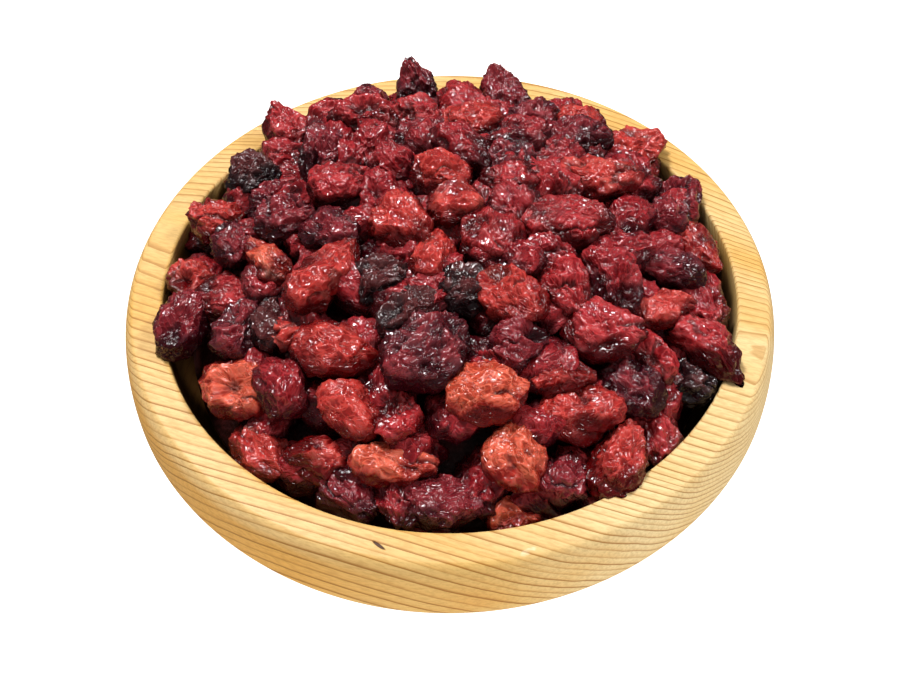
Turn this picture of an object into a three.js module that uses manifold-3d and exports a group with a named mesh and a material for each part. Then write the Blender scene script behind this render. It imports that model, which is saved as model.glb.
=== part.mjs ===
// A turned softwood bowl, heaped with dried cherries. Millimetres, +Z up.
// The origin is the centre of the bowl's foot, on the surface that the bowl stands on.
// The bowl and the heap are two solids. The heap fills the hollow, and stands clear of the wood by GAP.

import * as THREE from 'three';
import { mergeVertices } from 'three/addons/utils/BufferGeometryUtils.js';
import Module from 'manifold-3d';

// ---------- The bowl ----------
const BOWL_HEIGHT = 52;
const BELLY_R = 75; // the widest part of the wall, half of a 150 mm bowl
const BELLY_Z = 38;
const FOOT_R = 43.3;
const WALL_CURVE = 1.39; // the power by which the wall draws in from belly to foot
const RIM_OUTER_R = 71.4; // the flat of the rim runs from RIM_INNER_R to here
const RIM_INNER_R = 65;
const EASED_EDGE = 0.8; // how far the inner edge of the rim is sanded back
const HOLLOW_DEPTH = 43;
const HOLLOW_FULLNESS = 2.5; // superellipse power of the hollow: 2 is an ellipse, more is squarer
const BOWL_SIDES = 48;

// ---------- The heap ----------
const GAP = 0.3; // air between the fruit and the wood
const CROWN = 20; // height of the heap's middle above the rim
const FRONT_SHORE = -8; // height of the heap at the wall above the rim: in front (-Y)
const BACK_SHORE = 5; // and behind (+Y), where the fruit are piled higher
const HEAP_CURVE = 2.8; // the power by which the heap falls from crown to shore

const FRUIT_COUNT = 84; // even places for the scattered fruit
const CLEAR = 7.5; // a place this near the middle of a placed fruit stays empty
const FRUIT = { long: [6.3, 8.7], wide: [4.9, 6.6], deep: [4.0, 5.4] }; // half sizes, least and most
const TAPER = 0.16; // how much slimmer one end of a fruit is
const REACH = 57.5; // farthest that the middle of a scattered fruit lies from the axis
const MOAT = 4; // how much less that is at the left and right of the front, where a gap is widest
const RISE = 4.4; // the highest fruit lies this much above the lowest, beside the heap's own rise
const SINK = 3.7; // the middle of a fruit of mean height lies this far under the heap's surface
const LEAN = 0.6; // the steepest that a fruit leans or rolls, in radians
const STRAY = 0.5; // how far a fruit first strays from its even place, as a share of the spacing
const SWEEPS = 60; // rounds in which crowded fruit push each other apart
const TOUCH = 0.92; // fruit touch at this share of their mean half sizes
const STACK = 1.5; // how much more room a difference in height gives than one across

// Under them lies a bed, the even top of the fruit further down.
const BED_DEPTH = 5; // how far it lies below the heap's surface
const BED_R = 58; // its radius
const MOAT_DEPTH = 16; // between it and the wall, the fruit lie this far below the rim
const BED_SIDES = 24;

// Fruit with a place of their own. Each row gives the bearing in degrees from +X, the distance of the
// middle from the axis, its height, the half sizes (long, wide, deep), the heading of the slim end in
// degrees, and how that end leans upwards, in radians.
// Those that lie across the rim or stand up at the edge have their height above the rim.
const AT_EDGE = [
  [194, 60, 2.5, 8.8, 6, 5.2, 243, -0.25],
  [338, 60, 2.5, 9.2, 5, 4.8, 318, -0.25],
  [304, 60, 0.6, 8.4, 5.4, 5, 62, 0.3],
  [40, 60.5, 2.5, 8.4, 5.2, 4.6, 15, 0.1],
  [97, 57.5, 6.5, 7.8, 5.4, 4.6, 98, 1.05],
  [75, 56, 6, 8, 6.4, 5.4, 120, 0.7],
  [131, 60, 5, 6.8, 5.4, 5, 115, 0.5],
  [22, 58.5, 1.5, 7.4, 5.8, 4.6, 60, 0.1],
];
// Those on top have it above the mean of the scattered ones.
const ON_TOP = [
  [280, 41, 2, 8.4, 6.4, 5.4, 5, 0],
  [284, 52.5, 1.5, 8, 6.2, 5.2, 305, -0.3],
  [215, 55, 1.5, 7.8, 6.6, 5.2, 165, 0],
  [231, 38.5, 1.5, 8.8, 6.8, 5.4, 350, 0],
  [257, 52.5, 1, 8.2, 4.2, 4.2, 350, 0],
  [229, 59.5, 0.5, 7.2, 5.6, 4.6, 316, 0],
  [241, 55.5, 1, 7, 4.2, 4.2, 170, 0],
  [187, 40, 1, 6.8, 3.8, 3.8, 130, 0.1],
  [220, 20, 0, 7.2, 5.4, 4.4, 28, 0],
  [283, 18, 0, 7.2, 5.2, 4.4, 0, 0],
  [248, 24, 0, 7.8, 4.8, 4.4, 55, 0],
  [215, 41.5, 0, 3.6, 3.4, 3.2, 0, 0],
  [81, 38, 1.5, 7, 5.4, 4.6, 10, 0],
  [27, 38.5, 1.5, 9.4, 5.2, 4.6, 355, 0],
  [177, 10.5, 2, 7.2, 6.2, 5, 305, 0],
  [322, 40.5, 1.5, 8, 6.8, 5.2, 330, 0],
  [262, 33, 2, 9.6, 8, 6.2, 40, 0],
  [304, 23, 1, 8.2, 6.8, 5.2, 305, 0],
  [302, 49, 1, 8.2, 5.6, 4.6, 0, 0],
  [207, 43, 0, 5.8, 3.8, 4, 84, 0],
  [268, 57.5, 1, 8.6, 6, 5, 0, 0],
  [282, 60, 0, 5.2, 4, 3.6, 5, 0],
  [165, 56, 1.5, 7, 5, 4.4, 170, 0],
  [181, 58, 0.5, 5.5, 4.6, 4.2, 0, 0],
  [205, 29, 2, 10.8, 5.2, 5, 55, 0],
  [4, 26, 2, 10.2, 6.6, 5.2, 5, 0],
  [340, 9.5, 1, 7.6, 7, 5, 80, 0],
  [327, 29, 1, 8.6, 5.6, 4.8, 292, 0],
  [93, 16, 1, 6.4, 5.8, 4.8, 0, 0],
  [45, 20, 1, 6.8, 6, 4.8, 170, 0],
  [149, 29, 1, 7.2, 5.8, 4.8, 10, 0],
  [294, 33, 0, 5.8, 5.8, 5, 0, 0],
  [303, 41, -0.5, 7.2, 4.2, 4, 5, 0],
  [317, 51, 0.5, 7.2, 6.2, 4.8, 315, 0],
  [315, 59, 0, 6.6, 5.6, 4.6, 300, 0],
  [330, 58.5, 0, 6.4, 4.8, 4.4, 325, 0],
  [327, 50, 0.5, 6.6, 4, 4.2, 305, 0],
  [341, 48, 0.5, 7.4, 4.2, 4.2, 20, 0],
  [5, 57, 1, 6.4, 5.2, 4.8, 310, 0],
  [350, 58, 0, 6, 5, 4.6, 305, 0],
  [249, 58, 0, 7.4, 5.6, 4.8, 300, 0],
  [204, 49, 0.5, 7.6, 5, 4.6, 70, 0],
  [257, 44, 0, 6.4, 4.2, 4.2, 80, 0],
  [115, 47, 1.5, 8.4, 5.2, 4.8, 350, 0],
  [48, 47, 1.5, 8, 6.4, 5, 10, 0],
  [247, 9, 0, 7.6, 4.2, 4.4, 70, 0],
];

const wasm = await Module();
wasm.setup();

// ---------- Solids ----------

/** A closed three.js geometry as a solid that can be joined and cut. */
function solidOf(geometry) {
  const bare = new THREE.BufferGeometry().setAttribute('position', geometry.getAttribute('position'));
  bare.setIndex(geometry.getIndex());
  const merged = mergeVertices(bare, 1e-3);
  return new wasm.Manifold(
    new wasm.Mesh({
      numProp: 3,
      vertProperties: merged.getAttribute('position').array,
      triVerts: new Uint32Array(merged.getIndex().array),
    }),
  );
}

/** A joined and cut solid as a three.js geometry. */
function geometryOf(solid) {
  const mesh = solid.getMesh();
  const geometry = new THREE.BufferGeometry();
  geometry.setAttribute('position', new THREE.BufferAttribute(mesh.vertProperties, mesh.numProp));
  geometry.setIndex(new THREE.BufferAttribute(mesh.triVerts, 1));
  geometry.computeVertexNormals();
  return geometry;
}

/** A profile of [radius, height] pairs turned round the Z axis, from its lowest middle outwards. */
function turned(profile, sides) {
  const points = profile.map(([radius, height]) => new THREE.Vector2(radius, height));
  return new THREE.LatheGeometry(points, sides).rotateX(Math.PI / 2);
}

/** `count` + 1 values evenly spread from `from` to `to`. */
function spread(from, to, count) {
  return Array.from({ length: count + 1 }, (_, i) => from + ((to - from) * i) / count);
}

// ---------- Bowl ----------

/** The hollow from the middle of its floor up to `top`, with the wood grown by `grow`. */
function hollowProfile(grow, top) {
  const power = 2 / HOLLOW_FULLNESS;
  const steps = 8;
  const wall = spread(1, 0, steps).map((share) => {
    const angle = (share * Math.PI) / 2;
    const radius = share === 1 ? 0 : RIM_INNER_R * Math.cos(angle) ** power - grow;
    return [radius, BOWL_HEIGHT - HOLLOW_DEPTH * Math.sin(angle) ** power + grow];
  });
  return wall.filter(([, height]) => height < top);
}

/** The rim, from its eased inner edge over the flat to the shoulder and down to the belly. */
function rimProfile(grow) {
  const edge = spread(0, 1, 2).map((share) => [
    RIM_INNER_R - grow + EASED_EDGE * (1 - Math.cos((share * Math.PI) / 2)),
    BOWL_HEIGHT + grow - EASED_EDGE * (1 - Math.sin((share * Math.PI) / 2)),
  ]);
  const shoulder = spread(0, 1, 4).map((share) => [
    RIM_OUTER_R + (BELLY_R - RIM_OUTER_R) * Math.sin((share * Math.PI) / 2),
    BELLY_Z + grow + (BOWL_HEIGHT - BELLY_Z) * Math.cos((share * Math.PI) / 2),
  ]);
  return [...edge, ...shoulder];
}

/** The outer wall below the belly, drawn in to the foot, and the flat that the bowl stands on. */
function wallProfile() {
  const steps = 5;
  const wall = spread(1 / steps, 1, steps - 1).map((share) => [
    BELLY_R - (BELLY_R - FOOT_R) * share ** WALL_CURVE,
    BELLY_Z * (1 - share),
  ]);
  return [...wall, [0, 0]];
}

/** The bowl's wood, grown by `grow` at the rim and in the hollow. */
function bowlGeometry(grow) {
  const hollow = hollowProfile(grow, BOWL_HEIGHT - EASED_EDGE);
  return turned([...hollow, ...rimProfile(grow), ...wallProfile()].reverse(), BOWL_SIDES);
}

// ---------- Heap ----------

/** A repeatable number from 0 to 1 for fruit `n`, a different one for each `use`. */
function chance(n, use) {
  const wave = Math.sin(n * 12.9898 + use * 78.233) * 43758.5453;
  return wave - Math.floor(wave);
}

function between([least, most], share) {
  return least + (most - least) * share;
}

/** The height of the heap's even surface above the floor, at a place across the bowl. */
function heapTop(x, y) {
  const out = Math.min(1, Math.hypot(x, y) / RIM_INNER_R);
  const shore = between([FRONT_SHORE, BACK_SHORE], (1 + y / RIM_INNER_R) / 2);
  return BOWL_HEIGHT + shore + (CROWN - shore) * (1 - out ** HEAP_CURVE);
}

/** How far from the axis a fruit's middle may lie, on the bearing of a place. */
function reachAt(x, y) {
  const bearing = Math.atan2(y, x);
  const atFront = Math.max(0, -Math.sin(bearing));
  const atSide = Math.abs(Math.cos(bearing)) ** 3;
  return REACH - 3 * MOAT * atFront * atSide;
}

/** Fruit on an even spiral, from which every one strays a little, where no placed fruit is near. */
function scatteredFruit(placed) {
  const goldenAngle = Math.PI * (3 - Math.sqrt(5));
  const stray = STRAY * REACH * Math.sqrt(Math.PI / FRUIT_COUNT);
  const even = Array.from({ length: FRUIT_COUNT }, (_, i) => {
    const out = REACH * Math.sqrt((i + 0.5) / FRUIT_COUNT);
    return {
      x: out * Math.cos(i * goldenAngle) + stray * (2 * chance(i, 1) - 1),
      y: out * Math.sin(i * goldenAngle) + stray * (2 * chance(i, 2) - 1),
      rise: RISE * (chance(i, 3) - 0.5),
      long: between(FRUIT.long, chance(i, 4)),
      wide: between(FRUIT.wide, chance(i, 5)),
      deep: between(FRUIT.deep, chance(i, 6)),
      heading: 2 * Math.PI * chance(i, 7),
      lean: LEAN * (2 * chance(i, 8) - 1),
      roll: LEAN * (2 * chance(i, 9) - 1),
    };
  });
  const isFree = ({ x, y }) => placed.every((other) => Math.hypot(other.x - x, other.y - y) > CLEAR);
  return even.filter(isFree);
}

/** Fruit with a place of their own, `up` above the height that `level` gives for it. */
function placedFruit(list, level) {
  const { degToRad } = THREE.MathUtils;
  return list.map(([bearing, out, up, long, wide, deep, slimEnd, lean]) => {
    const x = out * Math.cos(degToRad(bearing));
    const y = out * Math.sin(degToRad(bearing));
    const z = level(x, y) + up;
    return { x, y, z, long, wide, deep, heading: degToRad(slimEnd), lean, roll: 0, fixed: true };
  });
}

/** Push fruit `a` and `b` apart if they crowd each other. Fixed fruit stay where they are. */
function push(a, b) {
  const dx = b.x - a.x;
  const dy = b.y - a.y;
  const dz = a.fixed || b.fixed ? 0 : STACK * (b.rise - a.rise);
  const apart = Math.hypot(dx, dy, dz) || 1e-6;
  const room = (TOUCH * (a.long + a.wide + b.long + b.wide)) / 2;
  const share = Math.max(0, (0.3 * (room - apart)) / apart);
  if (!a.fixed) {
    a.x -= dx * share;
    a.y -= dy * share;
  }
  if (!b.fixed) {
    b.x += dx * share;
    b.y += dy * share;
  }
}

/** Every fruit of the heap's surface in its place. */
function settledFruit() {
  const level = (x, y) => heapTop(x, y) - SINK;
  const placed = [...placedFruit(AT_EDGE, () => BOWL_HEIGHT), ...placedFruit(ON_TOP, level)];
  const scattered = scatteredFruit(placed);
  const all = [...placed, ...scattered];
  for (let sweep = 0; sweep < SWEEPS; sweep++) {
    all.forEach((a, i) => all.slice(i + 1).forEach((b) => push(a, b)));
    for (const fruit of scattered) {
      const inward = Math.min(1, reachAt(fruit.x, fruit.y) / Math.hypot(fruit.x, fruit.y));
      fruit.x *= inward;
      fruit.y *= inward;
    }
  }
  for (const fruit of scattered) {
    fruit.z = level(fruit.x, fruit.y) + fruit.rise;
  }
  return all;
}

/** One fruit: an egg, slim end first, leaned and rolled, and turned to its heading. */
function fruitSolid({ x, y, z, long, wide, deep, heading, lean, roll }) {
  const egg = new THREE.SphereGeometry(1, 6, 4).rotateZ(-Math.PI / 2);
  const points = egg.getAttribute('position');
  for (let i = 0; i < points.count; i++) {
    const slim = 1 - TAPER * points.getX(i);
    points.setXYZ(i, points.getX(i) * long, points.getY(i) * wide * slim, points.getZ(i) * deep * slim);
  }
  const turn = new THREE.Quaternion().setFromEuler(new THREE.Euler(roll, -lean, heading, 'ZYX'));
  return solidOf(egg.applyQuaternion(turn).translate(x, y, z));
}

/** The bed, which fills the hollow under the fruit. */
function bedSolid() {
  const fill = BOWL_HEIGHT - MOAT_DEPTH;
  const hollow = hollowProfile(GAP, fill);
  const [fillR] = hollow.at(-1);
  const dome = spread(BED_R, 0, 5).map((out) => [out, BOWL_HEIGHT]);
  const bed = turned([...hollow, [fillR, fill], [BED_R, fill], ...dome], BED_SIDES);
  const points = bed.getAttribute('position');
  for (let i = 0; i < points.count; i++) {
    if (points.getZ(i) > fill + GAP) {
      points.setZ(i, heapTop(points.getX(i), points.getY(i)) - BED_DEPTH);
    }
  }
  return solidOf(bed);
}

function heapGeometry() {
  const fruit = settledFruit().map(fruitSolid).reduce((joined, one) => joined.add(one));
  return geometryOf(fruit.subtract(solidOf(bowlGeometry(GAP))).add(bedSolid()));
}

// ---------- Finishes and the part ----------

const pineWood = new THREE.MeshStandardMaterial({ color: 0xe8bf80, roughness: 0.42, metalness: 0 });
const driedSkin = new THREE.MeshStandardMaterial({ color: 0x7d1c22, roughness: 0.35, metalness: 0 });

function piece(name, geometry, material) {
  const mesh = new THREE.Mesh(geometry, material);
  mesh.name = name;
  return mesh;
}

const part = new THREE.Group();
part.add(piece('bowl', bowlGeometry(0), pineWood));
part.add(piece('cherry_heap', heapGeometry(), driedSkin));

export default part;
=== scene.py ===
"""A turned softwood bowl, heaped with dried cherries.

Lengths in the classes are millimetres, and become metres where a mesh is made. Only the lamps, the floor
and the camera's near limit are in metres. The bowl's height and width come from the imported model's box,
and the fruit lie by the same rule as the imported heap's.
"""

from __future__ import annotations

import logging
import math
from dataclasses import dataclass, replace
from enum import Enum, IntEnum
from typing import Any, Callable, Iterable

import bmesh
import bpy
import numpy as np
from mathutils import Matrix, Vector


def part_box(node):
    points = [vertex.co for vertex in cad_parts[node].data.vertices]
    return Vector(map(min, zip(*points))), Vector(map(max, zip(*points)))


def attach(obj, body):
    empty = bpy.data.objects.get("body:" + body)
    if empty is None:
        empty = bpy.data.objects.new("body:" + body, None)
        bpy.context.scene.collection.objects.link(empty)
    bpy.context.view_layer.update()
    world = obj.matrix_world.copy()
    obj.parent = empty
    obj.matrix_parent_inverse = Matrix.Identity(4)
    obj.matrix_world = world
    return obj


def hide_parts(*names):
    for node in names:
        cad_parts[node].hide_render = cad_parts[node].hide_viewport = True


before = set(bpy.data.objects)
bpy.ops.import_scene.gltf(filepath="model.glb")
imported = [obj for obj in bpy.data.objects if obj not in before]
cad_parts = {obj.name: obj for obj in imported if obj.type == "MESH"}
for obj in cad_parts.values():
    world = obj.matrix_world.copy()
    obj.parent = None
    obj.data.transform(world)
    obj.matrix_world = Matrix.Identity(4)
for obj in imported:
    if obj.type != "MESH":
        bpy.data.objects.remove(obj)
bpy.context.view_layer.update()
PACKED_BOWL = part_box("bowl")
LOG = logging.getLogger("bowl_of_cherries")
MM = 0.001


# ---------- Small tools ----------


def srgb(code: str) -> tuple[float, float, float, float]:
    """A colour for a shader.

    Args:
        code: the colour as six hexadecimal digits.

    Returns:
        The linear red, green, blue and an alpha of 1.
    """
    parts = [int(code[i : i + 2], 16) / 255 for i in (0, 2, 4)]
    linear = [p / 12.92 if p <= 0.04045 else ((p + 0.055) / 1.055) ** 2.4 for p in parts]
    return (linear[0], linear[1], linear[2], 1.0)


class Draw(IntEnum):
    """What each of a fruit's chances decides. Two of the numbers serve for two things."""

    PLACE_X = 1
    PLACE_Y = 2
    RISE = 3
    LONG = 4
    WIDE = 5
    DEEP = 6
    HEADING = 7
    LEAN = 8
    ROLL = 9
    AWAY_X = 10
    AWAY_Y = 11
    AWAY_Z = 12
    TAPER = 13
    TIP = 14
    BEND = 15
    BOW = 16
    NAVEL_LIE = 16
    NAVEL_BEARING = 17
    PIT = 18
    WRINKLED = 19
    MOOD = 20
    SHRUNK = 21
    TONE = 21


def chance(n: int, use: Draw) -> float:
    """A repeatable number from 0 to 1 for fruit `n`, a different one for each `use`."""
    wave = math.sin(n * 12.9898 + use * 78.233) * 43758.5453
    return wave - math.floor(wave)


def between(span: tuple[float, float], share: float) -> float:
    """The value at a share of the way through a span."""
    return span[0] + (span[1] - span[0]) * share


class Field:
    """A node's output that can stand in arithmetic: each operator adds the node that works it out."""

    def __init__(self, nodes: Nodes, socket: bpy.types.NodeSocket) -> None:
        """Wrap an output socket of the tree that `nodes` makes."""
        self.nodes = nodes
        self.socket = socket

    @property
    def is_vector(self) -> bool:
        """Whether the output is a vector or a colour."""
        return self.socket.type in {"VECTOR", "RGBA"}

    def _join(self, operation: str, first: Any, second: Any) -> Field:
        """Add the Math or Vector Math node for one operator."""
        vector = any(isinstance(v, Field) and v.is_vector or isinstance(v, tuple) for v in (first, second))
        return (self.nodes.vector if vector else self.nodes.math)(operation, first, second)

    def __add__(self, other: Any) -> Field:
        """self + other."""
        return self._join("ADD", self, other)

    def __radd__(self, other: Any) -> Field:
        """other + self."""
        return self._join("ADD", other, self)

    def __sub__(self, other: Any) -> Field:
        """self - other."""
        return self._join("SUBTRACT", self, other)

    def __rsub__(self, other: Any) -> Field:
        """other - self."""
        return self._join("SUBTRACT", other, self)

    def __mul__(self, other: Any) -> Field:
        """self * other.

        Args:
            other: what self is multiplied by. A number scales a vector.

        Returns:
            The product.
        """
        if self.is_vector and not isinstance(other, tuple) and not (isinstance(other, Field) and other.is_vector):
            return self.nodes.scale(self, other)
        return self._join("MULTIPLY", self, other)

    def __truediv__(self, other: Any) -> Field:
        """self / other."""
        return self._join("DIVIDE", self, other)

    def __pow__(self, other: Any) -> Field:
        """self to the power of other."""
        return self._join("POWER", self, other)

    def abs(self) -> Field:
        """The size of self without its sign."""
        return self.nodes.math("ABSOLUTE", self)


class Nodes:
    """Makes the nodes of one shader or geometry tree."""

    def __init__(self, tree: bpy.types.NodeTree) -> None:
        """Work on `tree`."""
        self.tree = tree

    def add(self, kind: str, settings: dict[str, Any] | None = None, inputs: dict[Any, Any] | None = None) -> Any:
        """Add a node.

        Args:
            kind: the node's type name.
            settings: its properties, set before its sockets.
            inputs: what goes into its sockets, by name or number: a Field, a socket or a plain value.

        Returns:
            The node.
        """
        node = self.tree.nodes.new(kind)
        for name, value in (settings or {}).items():
            setattr(node, name, value)
        for name, value in (inputs or {}).items():
            self.feed(node.inputs[name], value)
        return node

    def feed(self, socket: bpy.types.NodeSocket, value: Any) -> None:
        """Link or set one input socket.

        Args:
            socket: the input.
            value: a Field or a socket to link to it, or a plain value to set.
        """
        if isinstance(value, Field):
            self.tree.links.new(value.socket, socket)
        elif isinstance(value, bpy.types.NodeSocket):
            self.tree.links.new(value, socket)
        else:
            socket.default_value = value

    def out(self, node: bpy.types.Node, name: Any = 0) -> Field:
        """One output of a node as a Field."""
        return Field(self, node.outputs[name])

    def math(self, operation: str, *values: Any) -> Field:
        """A Math node."""
        return self.out(self.add("ShaderNodeMath", {"operation": operation}, dict(enumerate(values))))

    def vector(self, operation: str, *values: Any) -> Field:
        """A Vector Math node. A number stands for a vector of three equal parts."""
        whole = [(float(v),) * 3 if isinstance(v, (int, float)) else v for v in values]
        return self.out(self.add("ShaderNodeVectorMath", {"operation": operation}, dict(enumerate(whole))))

    def scale(self, vector: Any, number: Any) -> Field:
        """A vector times a number."""
        sockets = {"Vector": vector, "Scale": number}
        return self.out(self.add("ShaderNodeVectorMath", {"operation": "SCALE"}, sockets))

    def length(self, vector: Any) -> Field:
        """A vector's length."""
        return self.out(self.add("ShaderNodeVectorMath", {"operation": "LENGTH"}, {0: vector}), "Value")

    def dot(self, first: Any, second: Any) -> Field:
        """The dot product of two vectors."""
        node = self.add("ShaderNodeVectorMath", {"operation": "DOT_PRODUCT"}, {0: first, 1: second})
        return self.out(node, "Value")

    def parts(self, vector: Any) -> tuple[Field, Field, Field]:
        """A vector's X, Y and Z."""
        node = self.add("ShaderNodeSeparateXYZ", None, {0: vector})
        return self.out(node, 0), self.out(node, 1), self.out(node, 2)

    def joined(self, x: Any, y: Any, z: Any) -> Field:
        """A vector from X, Y and Z."""
        return self.out(self.add("ShaderNodeCombineXYZ", None, {0: x, 1: y, 2: z}))

    def noise(self, place: Any, scale: float, detail: float = 2.0, rough: float = 0.5) -> Field:
        """Smooth noise from 0 to 1 at a place, `scale` patches to the unit."""
        sockets = {"Vector": place, "Scale": scale, "Detail": detail, "Roughness": rough}
        return self.out(self.add("ShaderNodeTexNoise", {"noise_dimensions": "3D"}, sockets), 0)

    def noise_vector(self, place: Any, scale: float) -> Field:
        """Three smooth noises from 0 to 1 as one vector."""
        sockets = {"Vector": place, "Scale": scale, "Detail": 1.0}
        return self.out(self.add("ShaderNodeTexNoise", {"noise_dimensions": "3D"}, sockets), "Color")

    def cell_edge(self, place: Any, scale: float) -> Field:
        """How far a place is from the edge of its cell, in a field of `scale` cells to the unit."""
        settings = {"feature": "DISTANCE_TO_EDGE"}
        return self.out(self.add("ShaderNodeTexVoronoi", settings, {"Vector": place, "Scale": scale}))

    def ramp(self, value: Any, low: float, high: float, to_low: float = 0.0, to_high: float = 1.0) -> Field:
        """A value eased from one span into another, and held at its ends."""
        sockets = {"Value": value, "From Min": low, "From Max": high, "To Min": to_low, "To Max": to_high}
        return self.out(self.add("ShaderNodeMapRange", {"interpolation_type": "SMOOTHSTEP"}, sockets), 0)

    def mix(self, share: Any, first: Any, second: Any) -> Field:
        """Two colours mixed.

        Args:
            share: how much of the second colour there is, from 0 to 1.
            first: the one colour.
            second: the other.

        Returns:
            The mixed colour.
        """
        node = self.add("ShaderNodeMix", {"data_type": "RGBA", "blend_type": "MIX"})
        self.feed(node.inputs[0], share)
        self.feed(node.inputs[6], first)
        self.feed(node.inputs[7], second)
        return self.out(node, 2)

    def attribute(self, name: str) -> Field:
        """A number stored on the mesh, for a shader."""
        return self.out(self.add("ShaderNodeAttribute", {"attribute_name": name}), "Fac")

    def attribute_vector(self, name: str) -> Field:
        """A vector stored on the mesh, for a shader."""
        return self.out(self.add("ShaderNodeAttribute", {"attribute_name": name}), "Vector")


# ---------- Finishes ----------


@dataclass(frozen=True)
class Finish:
    """What every finish has: a name, and the way to a new material's nodes."""

    name: str

    def start(self) -> tuple[bpy.types.Material, Nodes, bpy.types.Node]:
        """A new material.

        Returns:
            The material, its nodes and its Principled shader.
        """
        material = bpy.data.materials.new(self.name)
        material.use_nodes = True
        material.node_tree.nodes.clear()
        nodes = Nodes(material.node_tree)
        shader = nodes.add("ShaderNodeBsdfPrincipled")
        nodes.add("ShaderNodeOutputMaterial", None, {"Surface": shader.outputs[0]})
        return material, nodes, shader

    def place(self, nodes: Nodes) -> Field:
        """The place on the object in millimetres."""
        coordinates = nodes.add("ShaderNodeTexCoord")
        return nodes.out(coordinates, "Object") * (1 / MM)

    def bump(self, nodes: Nodes, height: Field, depth: float, strength: float = 1.0) -> Field:
        """A bumped normal from a height of 0 to 1 that stands for `depth` millimetres."""
        node = nodes.add("ShaderNodeBump", None, {"Height": height, "Distance": depth * MM, "Strength": strength})
        return nodes.out(node)


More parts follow.
